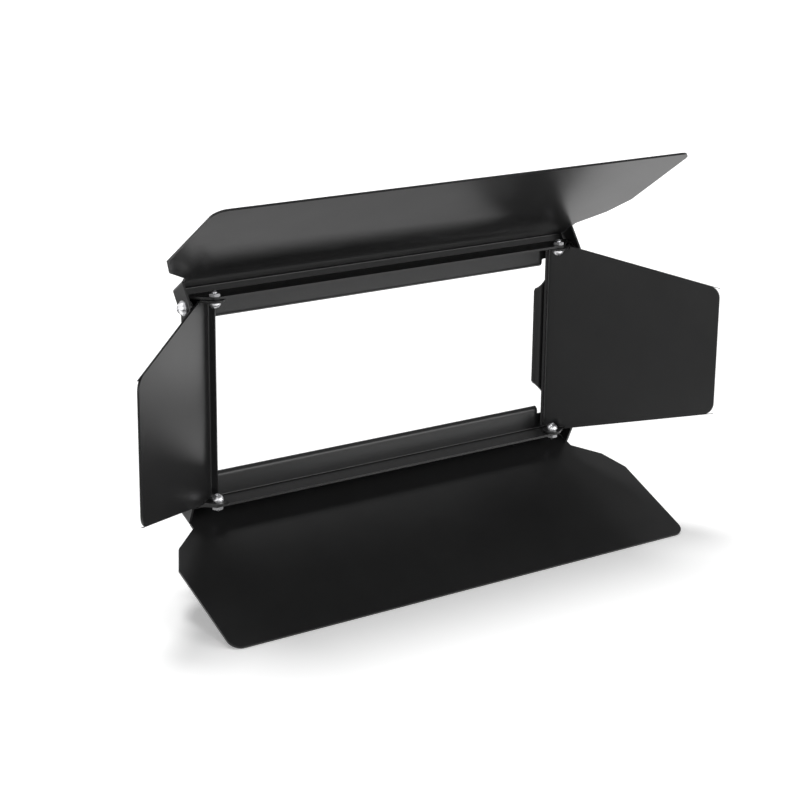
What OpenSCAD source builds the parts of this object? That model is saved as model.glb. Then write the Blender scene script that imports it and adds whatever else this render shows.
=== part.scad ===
// Four-leaf barn door for a rectangular floodlight.
// One folded sheet frame carries four sheet leaves on friction pivots, and each
// pivot is a screw, a washer under its head, a friction washer and a nut.
// X runs along the wide side, Y points back to the lamp and Z points up.
// The origin is the centre of the frame on its rear seating face.
// The leaves stand in their working pose, half open.

/* [Sheet metal] */
// Thickness of every folded sheet
sheet = 1.5; // [1:0.1:2]
// Inside radius of every fold
fold_r = 0.8; // [0.4:0.1:1.2]
// Width of the slit that frees each tab from the leaf beside it
slit_w = 0.5; // [0.3:0.1:1.5]
// Depth of that slit beyond the tab's fold
slit_in = 0.5; // [0.3:0.1:1.5]

/* [Frame] */
// Outside width of the frame
frame_w = 316.4; // [290:0.2:400]
// Outside height of the frame
frame_h = 141; // [130:0.5:200]
// Depth of the top and bottom walls
wall_depth = 18.5; // [18:0.5:26]
// Depth of the side walls, which stop the side leaves
side_wall_depth = 15.9; // [14:0.1:16]
// Length cut from each front corner of the top and bottom walls
wall_corner = 14.7; // [6:0.1:15]
// Depth left at the outer ends of the top and bottom walls
wall_end = 3.6; // [3.4:0.1:8]
// Radius on the front corners of the top and bottom walls
wall_corner_r = 5; // [1:0.5:8]
// Radius on the front corners of the side walls
side_wall_r = 6; // [1:0.5:8]
// Seam left open where two walls meet
seam = 0.8; // [0.4:0.1:1.5]

/* [Frame window] */
// Width of the ring's side bands, from the outer face to the lips' bend
side_band = 17; // [15:0.1:24]
// Height of the ring's top and bottom bands, from the outer face to the lips' bend
long_band = 14.5; // [13:0.1:22]
// Angle the lips are rolled back
lip_angle = 76; // [40:1:85]
// Inside radius the top and bottom lips are rolled to
lip_r = 2.2; // [1:0.1:3]
// Distance from each end of the top and bottom lips to the side lips' bend
lip_end = 4.2; // [3:0.1:10]
// Inside radius the side lips are rolled to
side_lip_r = 5.3; // [2:0.1:6]
// Distance from each end of the side lips to the top or bottom lip's bend
side_lip_end = 14.4; // [12:0.1:24]
// Length lost at each end of the side lips towards their free edge
side_lip_taper = 8; // [1:0.1:10]
// Width of the relief cut beyond the side lips' bend
relief_x = 4.3; // [2:0.1:6]
// Height of the relief cut beyond the top and bottom lips' bend
relief_z = 2; // [1.6:0.1:5]
// Length of the slanted side of the relief cut
relief_slant = 7.4; // [2:0.1:10]
// Corner radius of the relief cut
relief_r = 1.2; // [0.5:0.1:1.2]

/* [Top and bottom leaves] */
// Width of the top and bottom leaves
leaf_w = 374.4; // [345:0.2:460]
// Depth of the top and bottom leaves from the hinge fold
leaf_depth = 122.6; // [80:0.2:160]
// Height of the stiffening flange along the hinge edge
leaf_flange = 4.8; // [2:0.1:4.8]
// Depth at which the leaf starts to widen
flare_start = 16.6; // [13:0.1:20]
// Depth of the knee in the widening edge
flare_knee = 31.4; // [24:0.1:38]
// Distance of the knee in from the leaf's side
flare_knee_in = 9.4; // [3:0.1:12]
// Depth at which the leaf reaches its full width
flare_end = 49.4; // [42:0.1:60]
// Radius on the knees of the widening edge
flare_r = 3; // [0.5:0.5:6]
// Setback of the leaf's edge from the outer face of its tabs
leaf_edge_in = 0.85; // [0.5:0.05:2]
// Radius on the leaf's free corners
leaf_corner_r = 8.5; // [2:0.5:12]
// Reach of the tab behind its pivot
leaf_tab_back = 6.3; // [5:0.1:6.5]
// Reach of the tab in front of its pivot
leaf_tab_front = 8; // [6:0.1:9]
// Reach of the tab's end beyond its pivot
leaf_tab_end = 7; // [5.5:0.1:7]
// Radius on the tab's corners
leaf_tab_r = 5; // [2:0.1:6]
// Distance of the pivots in front of the frame's rear face
leaf_pivot_y = 8.5; // [8:0.1:9.5]
// Height of the pivot below the frame's outer top face
leaf_pivot_drop = 6.6; // [6.5:0.1:9]
// Pivot position along the leaf, from the hinge fold
leaf_pivot_v = 3.5; // [3:0.1:6]
// Pivot position off the leaf's inner face
leaf_pivot_w = 14.5; // [14.5:0.1:18]
// Angle of the top leaf above level
top_angle = 34.9; // [-20:0.1:60]
// Angle of the bottom leaf below level
bottom_angle = 24.3; // [-20:0.1:60]

/* [Side leaves] */
// Length of the side leaves from the hinge fold
side_len = 123.5; // [80:0.5:130]
// Height of a side leaf at its free edge
side_tip_h = 91.6; // [50:0.2:130]
// Height of the stiffening flange along the hinge edge
side_flange = 4.5; // [3:0.1:6]
// Setback of the leaf's edge from the outer face of its tabs
side_edge_in = 0.5; // [0.1:0.1:2]
// Radius on the free corners
side_corner_r = 9; // [2:0.5:14]
// Reach of the tab around its pivot
side_tab = 6.5; // [5:0.1:7]
// Radius on the tab's corners
side_tab_r = 5; // [2:0.1:5]
// Distance of the pivots in from the frame's outer side face
side_pivot_in = 17.4; // [17:0.1:22]
// Distance of the pivots in front of the frame's rear face
side_pivot_y = 14.5; // [14.4:0.1:15]
// Pivot position along the leaf, from the hinge fold
side_pivot_v = 8.2; // [7.8:0.1:9]
// Pivot position off the leaf's inner face
side_pivot_w = 7.4; // [7.2:0.1:7.6]
// Angle of the right leaf from straight out, where 180 is closed
right_angle = 52.2; // [40:0.1:180]
// Angle of the left leaf from straight out, where 180 is closed
left_angle = 40.7; // [40:0.1:180]

/* [Pivot fasteners] */
// Screw diameter
screw_d = 4; // [3:0.5:4]
// Screw length under the head
screw_len = 8; // [7:0.5:9]
// Screw head diameter
head_d = 8; // [6:0.1:8.6]
// Screw head height
head_h = 3.7; // [2:0.1:3.9]
// Diameter of the washers at the top and bottom leaves
washer_d = 10; // [8:0.1:10]
// Diameter of the washers at the side leaves
side_washer_d = 8; // [7:0.1:9]
// Thickness of the washers under the heads
washer_t = 0.8; // [0.5:0.1:1]
// Thickness of the friction washers
friction_t = 0.3; // [0.2:0.1:0.8]
// Nut width across its flats
nut_af = 7; // [5.5:0.1:7]
// Nut height
nut_h = 2.2; // [1.8:0.1:3.2]
// Thread pitch
pitch = 0.7; // [0.5:0.1:0.8]

/* [Clearances] */
// Radial play of the leaf tabs on their screws
pivot_play = 0.05; // [0.02:0.01:0.1]
// Radial play of the washers and walls on their screws
hole_play = 0.15; // [0.1:0.05:0.3]
// Radial play of the nuts on the screw threads
thread_play = 0.02; // [0.01:0.01:0.05]
// Side play between a tab and each washer beside it
tab_play = 0.05; // [0.02:0.01:0.1]

/* [Hidden] */
$fn = 64;

powder_black = "#1c1c1d";
zinc = "#c9ccd0";
nylon_black = "#2b2b2c";

// Outside radius of a fold
fold_out = fold_r + sheet;
// Where a leaf's flat begins, beyond its hinge fold
flat_start = fold_r;
// Pivot axes of the top and bottom leaves
leaf_pivot_z = frame_h / 2 - leaf_pivot_drop;
// Pivot axes of the side leaves
side_pivot_x = frame_w / 2 - side_pivot_in;
// Outer faces of the bent tabs
leaf_tab_out = frame_w / 2 + friction_t + tab_play + sheet;
side_tab_out = frame_h / 2 - sheet - friction_t - tab_play;
// Seat of the screw head above the wall that carries it
head_seat = friction_t + washer_t + 2 * tab_play + sheet;
// Edge of the top and bottom leaves beside their tabs
leaf_edge = leaf_tab_out - leaf_edge_in;
side_edge = side_tab_out - side_edge_in;
// Front edges of the tabs, along the leaf
leaf_tab_v = leaf_pivot_v + leaf_tab_front;
side_tab_v = side_pivot_v + side_tab;
// Window between the lips' bend lines, and the lengths of the lips
window_w = frame_w - 2 * side_band;
window_h = frame_h - 2 * long_band;
lip_len = window_w - 2 * lip_end;
side_lip_len = window_h - 2 * side_lip_end;
// Lap of a lip on the ring it grows from
lip_lap = 1;
// Small margin for clean cuts
eps = 0.1;

// Half of each leaf's outline as distance along the hinge and depth
leaf_half = [
    [leaf_tab_out - fold_out, flat_start],
    [leaf_tab_out - fold_out, leaf_tab_v],
    [leaf_tab_out - fold_out - slit_in, leaf_tab_v],
    [leaf_tab_out - fold_out - slit_in, leaf_tab_v + slit_w],
    [leaf_edge, leaf_tab_v + slit_w],
    [leaf_edge, flare_start],
    [leaf_w / 2 - flare_knee_in, flare_knee],
    [leaf_w / 2, flare_end],
    [leaf_w / 2, leaf_depth]
];
leaf_radii = [0, 0, 0, 0, 0, 0, flare_r, flare_r, leaf_corner_r];

side_half = [
    [side_tab_out - fold_out, flat_start],
    [side_tab_out - fold_out, side_tab_v],
    [side_tab_out - fold_out - slit_in, side_tab_v],
    [side_tab_out - fold_out - slit_in, side_tab_v + slit_w],
    [side_edge, side_tab_v + slit_w],
    [side_tip_h / 2, side_len]
];
side_radii = [0, 0, 0, 0, 0, side_corner_r];

// Completes half an outline by its mirror image across the leaf's middle
function both_halves(p) = concat(p, [for (i = [len(p) - 1:-1:0]) [-p[i][0], p[i][1]]]);
function both_radii(r) = concat(r, [for (i = [len(r) - 1:-1:0]) r[i]]);
function unit(v) = v / norm(v);

// The sliver between a corner and the arc that rounds it
module corner_sliver(p, a, b, r) {
    u = unit(a - p);
    w = unit(b - p);
    h = acos(u * w) / 2;
    t = r / tan(h);
    difference() {
        polygon([p, p + u * t, p + w * t]);
        translate(p + unit(u + w) * r / sin(h)) circle(r);
    }
}

// Outline with true arcs on its outer corners
module rounded(pts, radii) {
    n = len(pts);
    difference() {
        polygon(pts);
        for (i = [0:n - 1]) {
            if (radii[i] > 0) corner_sliver(pts[i], pts[(i + n - 1) % n], pts[(i + 1) % n], radii[i]);
        }
    }
}

// Section of the bend in a square fold, with its outer corner at the origin
module bend() {
    intersection() {
        square(fold_out);
        translate([fold_out, fold_out]) difference() {
            circle(fold_out);
            circle(fold_r);
        }
    }
}

// Section of a square fold with its two flats
module fold(a, b) {
    bend();
    translate([fold_out, 0]) square([a - fold_out, sheet]);
    translate([0, fold_out]) square([sheet, b - fold_out]);
}

// Stands a flat shape up so that it runs along X
module along_x(length) {
    translate([-length / 2, 0, 0]) rotate([90, 0, 90]) linear_extrude(length) children();
}

// Puts a piece on one edge of the frame: inwards along Y, forwards along Z
module on_edge(angle, reach) {
    rotate([0, angle, 0]) translate([0, 0, reach]) rotate([-90, 0, 180]) children();
}

// Wall folded forwards from the ring, trimmed to an outline
module wall(length, depth) {
    intersection() {
        along_x(length + 2 * eps) fold(2 * fold_out, depth);
        rotate([90, 0, 0]) translate([0, 0, -2 * fold_out]) linear_extrude(2 * fold_out + eps) children();
    }
}

// Top and bottom wall outline, with slanted front corners and relieved ends
module long_wall_outline() {
    half = [
        [frame_w / 2 - fold_out, -eps],
        [frame_w / 2 - fold_out, fold_out + eps],
        [frame_w / 2, fold_out + eps],
        [frame_w / 2, wall_end],
        [frame_w / 2 - wall_corner, wall_depth]
    ];
    radii = [0, 0, 0, 1, wall_corner_r];
    rounded(both_halves(half), both_radii(radii));
}

// Side wall outline, rounded towards the pivots
module side_wall_outline() {
    half = [
        [frame_h / 2 - sheet - seam, -eps],
        [frame_h / 2 - sheet - seam, side_wall_depth]
    ];
    rounded(both_halves(half), both_radii([0, side_wall_r]));
}

// Section of a lip rolled back from the ring: inwards along X, forwards along Y
module lip_section(r) {
    out = r + sheet;
    translate([-lip_lap, 0]) square([lip_lap, sheet]);
    translate([0, -r]) intersection() {
        difference() {
            circle(out);
            circle(r);
        }
        polygon([
            [0, 0],
            [0, 2 * out],
            2 * out * [tan(lip_angle / 2), 1],
            2 * out * [sin(lip_angle), cos(lip_angle)]
        ]);
    }
}

// Lip with its bend line on X
module lip(length, r) {
    along_x(length) lip_section(r);
}

// Lip that narrows from its bend to its free edge
module tapered_lip(length, r, taper) {
    run = (r + sheet) * sin(lip_angle);
    slope = taper / run;
    wide = length / 2 + slope * (2 * lip_lap + eps);
    narrow = length / 2 - slope * (2 * run - eps);
    intersection() {
        lip(length, r);
        translate([0, 0, -2 * run]) linear_extrude(4 * run) polygon([
            [-wide, -2 * lip_lap],
            [wide, -2 * lip_lap],
            [narrow, 2 * run],
            [-narrow, 2 * run]
        ]);
    }
}

// Window with a relief cut at each corner between neighbouring lips
module window_outline() {
    square([window_w, side_lip_len], center = true);
    square([lip_len, window_h], center = true);
    for (sx = [-1, 1], sz = [-1, 1]) {
        relief = [
            [lip_len / 2 - eps, side_lip_len / 2 - eps],
            [lip_len / 2 - eps, window_h / 2 - eps],
            [lip_len / 2, window_h / 2 - eps],
            [lip_len / 2, window_h / 2 + relief_z],
            [window_w / 2 + relief_x, window_h / 2 + relief_z],
            [window_w / 2 + relief_x, side_lip_len / 2 + relief_slant],
            [window_w / 2, side_lip_len / 2],
            [window_w / 2, side_lip_len / 2 - eps]
        ];
        mirror([sx > 0 ? 0 : 1, 0]) mirror([0, sz > 0 ? 0 : 1])
            rounded(relief, [0, 0, 0, relief_r, relief_r, relief_r, 0, 0]);
    }
}

module frame() {
    color(powder_black) difference() {
        union() {
            rotate([90, 0, 0]) linear_extrude(sheet) difference() {
                square([frame_w - 2 * fold_out, frame_h - 2 * fold_out], center = true);
                window_outline();
            }
            for (a = [0, 180]) {
                on_edge(a, frame_h / 2) wall(frame_w, wall_depth) long_wall_outline();
                on_edge(a, window_h / 2) lip(lip_len, lip_r);
            }
            for (a = [90, 270]) {
                on_edge(a, frame_w / 2) wall(frame_h, side_wall_depth) side_wall_outline();
                on_edge(a, window_w / 2) tapered_lip(side_lip_len, side_lip_r, side_lip_taper);
            }
        }
        for (s = [-1, 1]) {
            at_end_pivots(s) pivot_hole(screw_d / 2 + hole_play);
            at_side_pivots(s) pivot_hole(screw_d / 2 + hole_play);
        }
    }
}

// Screw hole through the wall that carries a pivot
module pivot_hole(r) {
    translate([0, 0, -sheet - 1]) cylinder(r = r, h = sheet + 2);
}

// Sheet leaf lying flat: X along its hinge, Y away from it, Z to its inner side
module leaf(half, radii, tab_out, pivot_v, pivot_w, flange) {
    flange_len = 2 * (tab_out - fold_out - slit_in);
    difference() {
        union() {
            translate([0, 0, -sheet]) linear_extrude(sheet) rounded(both_halves(half), both_radii(radii));
            translate([0, -sheet, -sheet]) along_x(flange_len) fold(2 * fold_out, sheet + flange);
            for (s = [0, 1]) mirror([s, 0, 0]) children();
        }
        translate([0, pivot_v, pivot_w]) rotate([0, 90, 0])
            cylinder(r = screw_d / 2 + pivot_play, h = 2 * tab_out + 2, center = true);
    }
}

// Tab folded up from the leaf's end, with rounded corners
module leaf_tab(tab_out, back, front, end, r) {
    translate([tab_out, front, -sheet]) rotate([90, 0, 0]) {
        linear_extrude(front - back) mirror([1, 0]) bend();
        linear_extrude(front - max(back, flat_start)) mirror([1, 0]) translate([fold_out, 0])
            square([fold_out, sheet]);
    }
    translate([tab_out - sheet, 0, 0]) rotate([90, 0, 90]) linear_extrude(sheet)
        rounded([[back, fold_r], [front, fold_r], [front, end], [back, end]], [0, 0, r, r]);
}

module long_leaf() {
    leaf(leaf_half, leaf_radii, leaf_tab_out, leaf_pivot_v, leaf_pivot_w, leaf_flange)
        leaf_tab(
            leaf_tab_out,
            leaf_pivot_v - leaf_tab_back,
            leaf_tab_v,
            leaf_pivot_w + leaf_tab_end,
            leaf_tab_r
        );
}

module short_leaf() {
    leaf(side_half, side_radii, side_tab_out, side_pivot_v, side_pivot_w, side_flange)
        leaf_tab(side_tab_out, side_pivot_v - side_tab, side_tab_v, side_pivot_w + side_tab, side_tab_r);
}

// Hangs a top leaf on its pivots at an angle above level
module place_long(angle) {
    translate([0, -leaf_pivot_y, leaf_pivot_z]) rotate([180 - angle, 0, 0])
        translate([0, -leaf_pivot_v, -leaf_pivot_w]) children();
}

// Hangs a right-hand leaf on its pivots at an angle from straight out
module place_short(angle) {
    translate([side_pivot_x, -side_pivot_y, 0]) rotate([0, 0, -90 - angle]) rotate([0, 90, 0])
        translate([0, -side_pivot_v, -side_pivot_w]) children();
}

module top_leaf() {
    color(powder_black) place_long(top_angle) long_leaf();
}

module bottom_leaf() {
    color(powder_black) rotate([0, 180, 0]) place_long(bottom_angle) long_leaf();
}

module right_leaf() {
    color(powder_black) place_short(right_angle) short_leaf();
}

module left_leaf() {
    color(powder_black) rotate([0, 180, 0]) place_short(left_angle) short_leaf();
}

// Pivots of the top or bottom leaf: Z points out from the side wall's outer face
module at_end_pivots(side) {
    for (sx = [-1, 1]) {
        translate([sx * frame_w / 2, -leaf_pivot_y, side * leaf_pivot_z]) rotate([0, sx * 90, 0]) children();
    }
}

// Pivots of a side leaf: Z points in from the inner face of the top or bottom wall
module at_side_pivots(side) {
    for (sz = [-1, 1]) {
        translate([side * side_pivot_x, -side_pivot_y, sz * (frame_h / 2 - sheet)])
            rotate([90 + sz * 90, 0, 0]) children();
    }
}

// Domed head on its seat, with a cross recess
module screw_head() {
    rim = head_h * 0.22;
    rise = head_h - rim;
    ball = (head_d * head_d / 4 + rise * rise) / (2 * rise);
    difference() {
        rotate_extrude() intersection() {
            square([head_d / 2, head_h]);
            translate([0, head_h - ball]) circle(ball);
        }
        translate([0, 0, head_h]) cross_recess();
    }
}

// Tapered cross, pointing down from the top of a head
module cross_recess() {
    depth = head_h * 0.6;
    reach = head_d * 0.28;
    blade = head_d * 0.12;
    intersection() {
        translate([0, 0, -depth]) cylinder(r1 = blade * 0.7, r2 = reach, h = depth + eps);
        translate([0, 0, -depth]) linear_extrude(depth + 2 * eps) {
            square([2 * reach + 2, blade], center = true);
            square([blade, 2 * reach + 2], center = true);
        }
    }
}

// Screw with a plain bearing length and a ridged, blunt end, seated above the wall
module screw() {
    r = screw_d / 2;
    root = r - 0.55 * pitch;
    plain = head_seat + sheet;
    turns = floor((screw_len - plain) / pitch) - 1;
    translate([0, 0, head_seat]) screw_head();
    rotate_extrude() polygon(concat(
        [[0, head_seat + eps], [r, head_seat + eps], [r, head_seat - plain]],
        [for (i = [0:2 * turns - 1]) [i % 2 == 0 ? root : r, -sheet - (i + 1) * pitch / 2]],
        [
            [root, head_seat - screw_len + root / 2],
            [root / 2, head_seat - screw_len],
            [0, head_seat - screw_len]
        ]
    ));
}

module ring_washer(d, t) {
    difference() {
        cylinder(d = d, h = t);
        translate([0, 0, -1]) cylinder(r = screw_d / 2 + hole_play, h = t + 2);
    }
}

module head_washer(d) {
    translate([0, 0, head_seat - washer_t]) ring_washer(d, washer_t);
}

module friction_washer(d) {
    ring_washer(d, friction_t);
}

// Hexagon nut against the far side of the wall, with chamfered corners
module nut() {
    corner = nut_af / sqrt(3);
    drop = (corner - nut_af / 2) * tan(30);
    translate([0, 0, -sheet - nut_h]) difference() {
        intersection() {
            cylinder(r = corner, h = nut_h, $fn = 6);
            rotate_extrude() polygon([
                [0, 0],
                [nut_af / 2, 0],
                [corner + eps, drop + eps * tan(30)],
                [corner + eps, nut_h - drop - eps * tan(30)],
                [nut_af / 2, nut_h],
                [0, nut_h]
            ]);
        }
        translate([0, 0, -1]) cylinder(r = screw_d / 2 + thread_play, h = nut_h + 2);
    }
}

module top_screws() {
    color(zinc) at_end_pivots(1) screw();
}

module top_washers() {
    color(zinc) at_end_pivots(1) head_washer(washer_d);
}

module top_friction_washers() {
    color(nylon_black) at_end_pivots(1) friction_washer(washer_d);
}

module top_nuts() {
    color(zinc) at_end_pivots(1) nut();
}

module bottom_screws() {
    color(zinc) at_end_pivots(-1) screw();
}

module bottom_washers() {
    color(zinc) at_end_pivots(-1) head_washer(washer_d);
}

module bottom_friction_washers() {
    color(nylon_black) at_end_pivots(-1) friction_washer(washer_d);
}

module bottom_nuts() {
    color(zinc) at_end_pivots(-1) nut();
}

module left_screws() {
    color(zinc) at_side_pivots(-1) screw();
}

module left_washers() {
    color(zinc) at_side_pivots(-1) head_washer(side_washer_d);
}

module left_friction_washers() {
    color(nylon_black) at_side_pivots(-1) friction_washer(side_washer_d);
}

module left_nuts() {
    color(zinc) at_side_pivots(-1) nut();
}

module right_screws() {
    color(zinc) at_side_pivots(1) screw();
}

module right_washers() {
    color(zinc) at_side_pivots(1) head_washer(side_washer_d);
}

module right_friction_washers() {
    color(nylon_black) at_side_pivots(1) friction_washer(side_washer_d);
}

module right_nuts() {
    color(zinc) at_side_pivots(1) nut();
}

frame();
top_leaf();
bottom_leaf();
left_leaf();
right_leaf();
top_screws();
top_washers();
top_friction_washers();
top_nuts();
bottom_screws();
bottom_washers();
bottom_friction_washers();
bottom_nuts();
left_screws();
left_washers();
left_friction_washers();
left_nuts();
right_screws();
right_washers();
right_friction_washers();
right_nuts();
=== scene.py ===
"""Looks of the barn door: satin black powder coat on the folded sheets, zinc fasteners, a pale
floor, soft studio light and a camera at the photograph's angle. Lengths are in metres."""
import math

import bpy
from mathutils import Matrix, Vector


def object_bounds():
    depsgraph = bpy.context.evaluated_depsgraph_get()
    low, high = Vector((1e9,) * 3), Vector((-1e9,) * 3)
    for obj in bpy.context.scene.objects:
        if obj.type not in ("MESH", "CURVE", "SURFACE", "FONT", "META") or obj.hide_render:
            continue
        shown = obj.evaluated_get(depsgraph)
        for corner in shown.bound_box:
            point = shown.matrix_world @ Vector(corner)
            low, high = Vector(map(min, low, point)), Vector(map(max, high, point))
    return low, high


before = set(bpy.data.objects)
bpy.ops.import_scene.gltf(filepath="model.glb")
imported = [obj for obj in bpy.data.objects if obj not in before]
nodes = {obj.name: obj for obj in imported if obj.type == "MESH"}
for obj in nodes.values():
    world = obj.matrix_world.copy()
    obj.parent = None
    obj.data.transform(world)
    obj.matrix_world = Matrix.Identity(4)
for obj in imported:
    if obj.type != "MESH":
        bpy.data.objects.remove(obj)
cad_low, cad_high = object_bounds()
scene = bpy.context.scene
scene.view_settings.view_transform = "Standard"

SHEETS = ("frame", "top_leaf", "bottom_leaf", "left_leaf", "right_leaf")
SIDES = ("top", "bottom", "left", "right")
WHITE, BLACK = (1, 1, 1, 1), (0, 0, 0, 1)

# Noises, each as scale, detail and roughness
CLOUD = (28, 4, 0.6)
PEEL = (2600, 1, 0.5)
STAIN = (350, 3, 0.6)
MOULD = (1200, 3, 0.6)
# Height that a bump of strength 1 stands for
BUMP_HEIGHT = 0.0001
# Blue of the coat and the plate, against their red and green
COOL = 1.02

# Camera, fitted to the straight edges of the photograph: degrees, metres and millimetres
AZIMUTH, ELEVATION, ROLL = -35.40, 16.79, 0.66
TARGET = Vector((0.01221, -0.00365, -0.02637))
DISTANCE = 1.4324
LENS, SENSOR = 92.97, 36
CLIP_END = 50

# World seen by the camera and by mirrors, and the light it gives
WORLD_SEEN, WORLD_LIGHT = 1.0, 0.3
# Overhead light: where it comes from, its strength and its spread in degrees
OVERHEAD_FROM = Vector((0.03, 0.22, 0.97))
OVERHEAD_STRENGTH, OVERHEAD_SPREAD = 2.7, 24
# Soft boxes: place, size and watts
SOFT_BOXES = {
    "key": ((1.3, -1.9, 0.9), (1.4, 1.2), 24),
    "fill": ((-2.0, -1.2, 0.5), (1.2, 1.2), 6),
}

# Floor: its size, its gap under the part, its grey, and the glow that turns it white
FLOOR_SIZE = 8
FLOOR_GAP = 0.0002
FLOOR_GREY = 0.8
FLOOR_GLOW = 0.31
# Height of the painted-reflection sheets on the floor over the lowest edge of the part
PAINTED_REFLECTION_RISE = 0.001


def set_inputs(node, **values):
    """Sets a node's sockets by their names, with _ for each space."""
    for name, value in values.items():
        node.inputs[name.replace("_", " ")].default_value = value


def new_material(name):
    """A material, its node tree and its Principled shader."""
    mat = bpy.data.materials.new(name)
    mat.use_nodes = True
    return mat, mat.node_tree, mat.node_tree.nodes["Principled BSDF"]


def noise(tree, scale, detail, roughness):
    """A noise that stays fixed to the object."""
    place = tree.nodes.new("ShaderNodeTexCoord")
    node = tree.nodes.new("ShaderNodeTexNoise")
    set_inputs(node, Scale=scale, Detail=detail, Roughness=roughness)
    tree.links.new(place.outputs["Object"], node.inputs["Vector"])
    return node.outputs["Fac"]


def ramp(tree, value, stops, blue=1.0):
    """A grey that follows a value between two stops, each a position and a level."""
    node = tree.nodes.new("ShaderNodeValToRGB")
    for element, (position, level) in zip(node.color_ramp.elements, stops):
        element.position = position
        element.color = (level, level, level * blue, 1)
    tree.links.new(value, node.inputs["Fac"])
    return node.outputs["Color"]


def map_range(tree, value, source, target):
    """Carries a value over from one range to another."""
    node = tree.nodes.new("ShaderNodeMapRange")
    set_inputs(node, From_Min=source[0], From_Max=source[1], To_Min=target[0], To_Max=target[1])
    tree.links.new(value, node.inputs["Value"])
    return node.outputs["Result"]


def surface(name, patches, grain, tone, gloss, bump, blue=1.0, **values):
    """A material whose tone and gloss follow one noise and whose bump follows another."""
    mat, tree, shader = new_material(name)
    patch = noise(tree, *patches)
    tree.links.new(ramp(tree, patch, tone, blue), shader.inputs["Base Color"])
    if gloss:
        tree.links.new(ramp(tree, patch, gloss), shader.inputs["Roughness"])
    relief = tree.nodes.new("ShaderNodeBump")
    set_inputs(relief, Strength=bump, Distance=BUMP_HEIGHT)
    tree.links.new(noise(tree, *grain), relief.inputs["Height"])
    tree.links.new(relief.outputs["Normal"], shader.inputs["Normal"])
    set_inputs(shader, **values)
    return mat


def powder_coat():
    """Satin black powder coat: a fine orange peel, a cloudy gloss and a slightly uneven black."""
    return surface(
        "powder_coat", CLOUD, PEEL,
        tone=((0.35, 0.0140), (0.70, 0.0160)), gloss=((0.30, 0.29), (0.75, 0.32)),
        bump=0.07, blue=COOL, Specular_IOR_Level=0.32
    )


def zinc(name, dull, bright):
    """Zinc plate with small stains, between a dull and a bright grey."""
    return surface(
        name, STAIN, STAIN,
        tone=((0.3, dull), (0.7, bright)), gloss=((0.3, 0.30), (0.7, 0.40)),
        bump=0.03, blue=COOL, Metallic=1.0
    )


def nylon():
    """Plain black nylon with a moulded grain."""
    return surface(
        "nylon", MOULD, MOULD,
        tone=((0.3, 0.018), (0.7, 0.030)), gloss=None,
        bump=0.2, Roughness=0.6
    )


def dress(node, mat):
    """Gives a CAD node one material."""
    mesh = nodes[node].data
    mesh.materials.clear()
    mesh.materials.append(mat)


def dress_part():
    """Coats the sheets and gives each kind of fastener its material: plain zinc plate on the
    washers, nylon on the friction washers, and zinc painted lighter on the screws and darker on
    the nuts.
    """
    coat = powder_coat()
    for sheet in SHEETS:
        dress(sheet, coat)
    fasteners = {
        # The screws' zinc is painted lighter than the washers' plain zinc plate: a painted
        # highlight on the heads
        "screws": zinc("zinc_painted_highlight", 0.82, 0.94),
        "washers": zinc("zinc_plate", 0.50, 0.60),
        # The nuts' zinc is painted darker than the washers' plain zinc plate: a painted shade
        "nuts": zinc("zinc_painted_shade", 0.20, 0.28),
        "friction_washers": nylon(),
    }
    for side in SIDES:
        for kind, mat in fasteners.items():
            dress(f"{side}_{kind}", mat)


def add_object(name, data):
    obj = bpy.data.objects.new(name, data)
    scene.collection.objects.link(obj)
    return obj


def make_camera():
    """Camera that looks at the target from the photograph's angle, with its small roll."""
    a, e, r = (math.radians(v) for v in (AZIMUTH, ELEVATION, ROLL))
    forward = Vector((-math.sin(a) * math.cos(e), math.cos(a) * math.cos(e), -math.sin(e)))
    right = Vector((math.cos(a), math.sin(a), 0))
    up = right.cross(forward)
    side = right * math.cos(r) + up * math.sin(r)
    top = up * math.cos(r) - right * math.sin(r)
    data = bpy.data.cameras.new("camera")
    data.lens, data.sensor_width = LENS, SENSOR
    data.clip_end = CLIP_END
    scene.camera = add_object("camera", data)
    turn = Matrix((side, top, -forward)).transposed().to_4x4()
    scene.camera.matrix_world = Matrix.Translation(TARGET - forward * DISTANCE) @ turn


def shine(lamp, direction):
    """Turns a lamp to shine along a direction."""
    lamp.rotation_euler = direction.to_track_quat("-Z", "Y").to_euler()


def soft_box(name, place, size, watts):
    """A rectangular area lamp, turned to the origin."""
    data = bpy.data.lights.new(name, "AREA")
    data.shape = "RECTANGLE"
    data.size, data.size_y = size
    data.energy = watts
    lamp = add_object(name, data)
    lamp.location = place
    shine(lamp, -Vector(place))


def make_lights():
    """A broad light from overhead, the same all over the floor, and the soft boxes."""
    data = bpy.data.lights.new("overhead", "SUN")
    data.energy = OVERHEAD_STRENGTH
    data.angle = math.radians(OVERHEAD_SPREAD)
    shine(add_object("overhead", data), -OVERHEAD_FROM)
    for name, (place, size, watts) in SOFT_BOXES.items():
        soft_box(name, place, size, watts)


def seen_level(tree, seen, rest):
    """One level for camera, mirror and see-through rays, and another for the rest."""
    path = tree.nodes.new("ShaderNodeLightPath")
    total = path.outputs["Is Camera Ray"]
    for kind in ("Is Glossy Ray", "Is Transmission Ray"):
        both = tree.nodes.new("ShaderNodeMath")
        both.operation = "MAXIMUM"
        tree.links.new(total, both.inputs[0])
        tree.links.new(path.outputs[kind], both.inputs[1])
        total = both.outputs[0]
    return map_range(tree, total, (0, 1), (rest, seen))


def make_world():
    """White for the camera and for mirror rays, dim for the light it gives."""
    world = bpy.data.worlds.new("studio")
    scene.world = world
    world.use_nodes = True
    tree = world.node_tree
    back = tree.nodes["Background"]
    set_inputs(back, Color=WHITE)
    tree.links.new(seen_level(tree, WORLD_SEEN, WORLD_LIGHT), back.inputs["Strength"])


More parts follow.
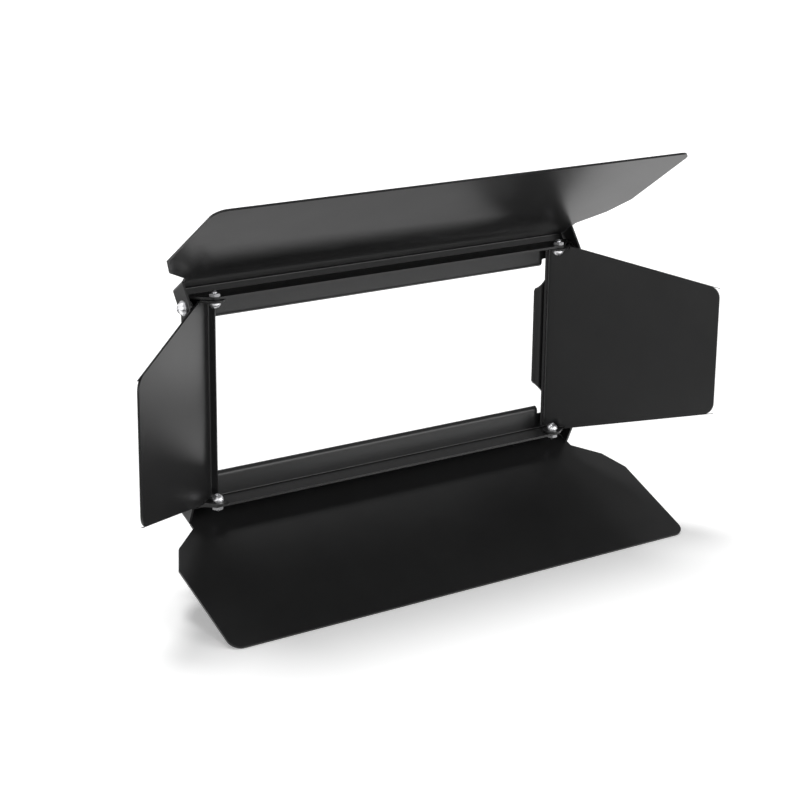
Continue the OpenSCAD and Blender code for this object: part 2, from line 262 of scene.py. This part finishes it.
def make_floor():
    """White sweep under the lowest edge: its glow for the camera leaves room for the shadow."""
    bpy.ops.mesh.primitive_plane_add(size=FLOOR_SIZE, location=(0, 0, cad_low[2] - FLOOR_GAP))
    floor = bpy.context.object
    floor.name = "floor"
    mat, tree, shader = new_material("floor")
    set_inputs(shader, Base_Color=(FLOOR_GREY, FLOOR_GREY, FLOOR_GREY, 1), Emission_Color=WHITE)
    set_inputs(shader, Roughness=0.28, Specular_IOR_Level=1.0)
    tree.links.new(seen_level(tree, FLOOR_GLOW, 0), shader.inputs["Emission Strength"])
    floor.data.materials.append(mat)


def painted_reflection(name, corners, glow=(0, 0)):
    """A sheet that only mirror rays see, a painted reflection on the black sheets that lights
    nothing and casts no shadow.
    Its painted reflection changes evenly from its left end to its right end."""
    mesh = bpy.data.meshes.new(name)
    mesh.from_pydata(corners, [], [range(len(corners))])
    obj = add_object(name, mesh)
    mat, tree, shader = new_material(name)
    set_inputs(shader, Base_Color=BLACK, Specular_IOR_Level=0, Emission_Color=WHITE)
    point = tree.nodes.new("ShaderNodeNewGeometry")
    along = tree.nodes.new("ShaderNodeSeparateXYZ")
    tree.links.new(point.outputs["Position"], along.inputs[0])
    ends = [corner[0] for corner in corners]
    level = map_range(tree, along.outputs["X"], (min(ends), max(ends)), glow)
    tree.links.new(level, shader.inputs["Emission Strength"])
    # Its back is clear, so the floor under it does not mirror it
    clear = tree.nodes.new("ShaderNodeBsdfTransparent")
    mix = tree.nodes.new("ShaderNodeMixShader")
    tree.links.new(point.outputs["Backfacing"], mix.inputs[0])
    tree.links.new(shader.outputs[0], mix.inputs[1])
    tree.links.new(clear.outputs[0], mix.inputs[2])
    tree.links.new(mix.outputs[0], tree.nodes["Material Output"].inputs["Surface"])
    mesh.materials.append(mat)
    obj.visible_camera = False
    obj.visible_diffuse = False
    obj.visible_shadow = False
    obj.visible_transmission = False


def floor_painted_reflection(name, corners, glow=(0, 0)):
    """A painted-reflection sheet just over the floor, with its corners as x and y,
    counter-clockwise from above.
    """
    painted_reflection(name, [(x, y, cad_low[2] + PAINTED_REFLECTION_RISE) for x, y in corners], glow)


def make_painted_reflections():
    """Painted reflections on the sheets, besides the white of the studio."""
    # Painted dark reflection, behind the frame: seen in the top leaf next to its hinge
    floor_painted_reflection("painted_reflection_behind", [
        (-0.6, 0.12), (0.05, 0.135), (0.33, 0.108), (0.33, 0.15),
        (0.20, 0.19), (0.20, 0.7), (-0.6, 0.7)
    ])
    # Painted off-white reflection, nearer the frame: seen in the front of the top leaf
    floor_painted_reflection("painted_reflection_near", [
        (-0.05, 0.04), (0.33, 0.04), (0.33, 0.108), (0.05, 0.135), (-0.05, 0.12)
    ], (0.95, 0.95))
    # Painted light grey reflection, behind on the right: seen in the upper end of the left leaf
    floor_painted_reflection("painted_reflection_right", [(0.33, 0.215), (0.8, 0.215), (0.8, 0.5), (0.33, 0.5)], (0.7, 0.7))
    # Painted reflection from dark to white, in front on the left, then dark further left: seen in
    # the right leaf
    floor_painted_reflection("painted_reflection_left", [(-0.5, -0.7), (0.05, -0.7), (0.05, -0.14), (-0.5, -0.14)], (0.05, 1))
    floor_painted_reflection("painted_reflection_far_left", [(-0.9, -0.7), (-0.5, -0.7), (-0.5, -0.14), (-0.9, -0.14)])
    # Painted dark reflection, far behind: seen in the bottom wall of the frame
    painted_reflection("painted_reflection_back", [(-0.2, 1.2, 0.15), (1.9, 1.2, 0.15), (1.9, 1.2, 1.0), (-0.2, 1.2, 1.0)])
    # Painted reflection from dark to dim, overhead: seen in the bottom leaf
    painted_reflection("painted_reflection_above", [
        (-0.3, 0.9, 0.7), (1.3, 0.9, 0.7), (1.3, -1.0, 0.7), (-0.3, -1.0, 0.7)
    ], (0.05, 0.28))


dress_part()
make_camera()
make_world()
make_floor()
make_painted_reflections()
make_lights()
